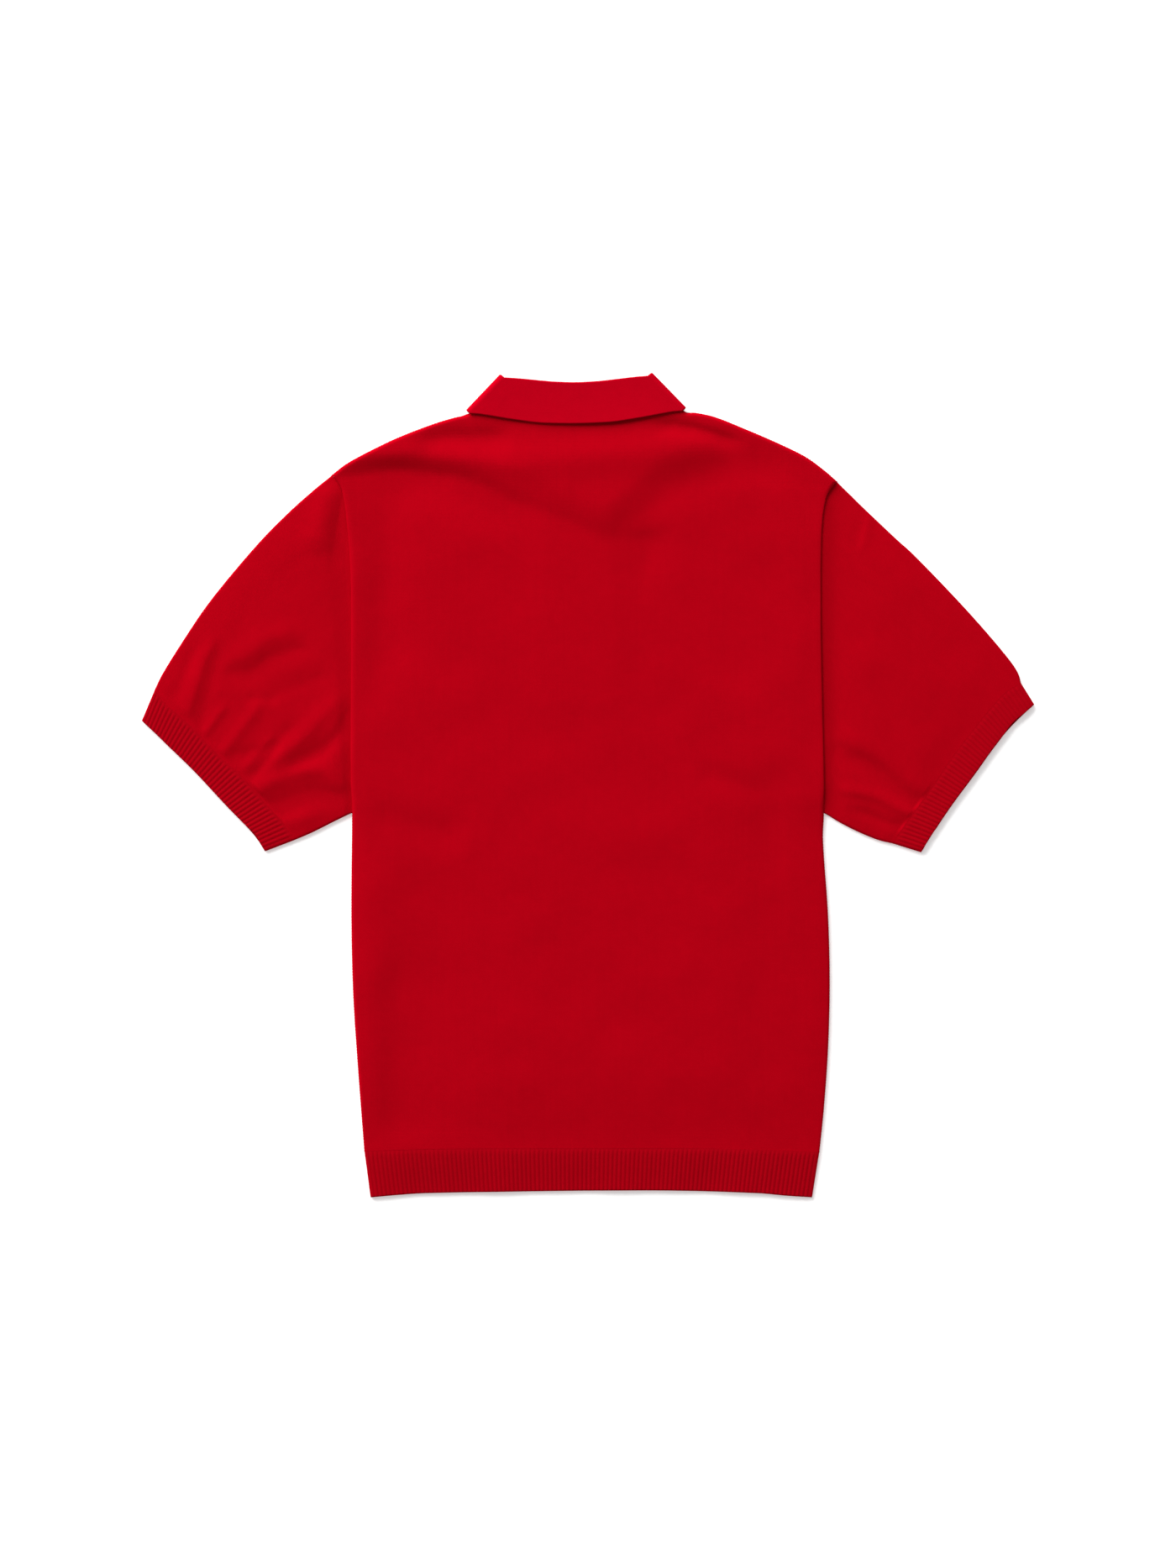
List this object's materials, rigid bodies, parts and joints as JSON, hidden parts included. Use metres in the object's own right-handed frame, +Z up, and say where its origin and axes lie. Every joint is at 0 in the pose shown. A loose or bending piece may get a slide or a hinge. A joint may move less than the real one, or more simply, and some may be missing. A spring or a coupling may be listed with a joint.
{
  "type": "polo shirt",
  "caption": "Short-sleeved knitted polo shirt laid flat face down, with a turned-down collar, a buttoned placket, ribbed cuffs and a ribbed hem.",
  "frame": {"origin": "on the surface the shirt lies on, under the middle of its outline", "axes": "+Z up from the surface, +Y from the hem to the collar, +X to the wearer's right"},
  "size_m": [0.8086, 0.7464, 0.0113],
  "materials": {
    "body_knit": "plain fine-gauge knit, matt with a soft bloom",
    "sleeve_knit": "plain fine-gauge knit, matt with a soft bloom",
    "rib_knit": "narrow ribs, matt",
    "collar_knit": "smooth firm knit, matt",
    "placket_knit": "smooth firm knit, matt",
    "button_resin": "polished dyed resin"
  },
  "bodies": {
    "root": {"back_panel": "body_knit", "front_panel": "body_knit", "sleeve_left": "sleeve_knit", "sleeve_right": "sleeve_knit", "hem_rib_back": "rib_knit", "hem_rib_front": "rib_knit", "cuff_left": "rib_knit", "cuff_right": "rib_knit", "collar": "collar_knit", "placket_over": "placket_knit", "placket_under": "placket_knit", "button_top": "button_resin", "button_middle": "button_resin", "button_bottom": "button_resin"}
  },
  "joints": []
}
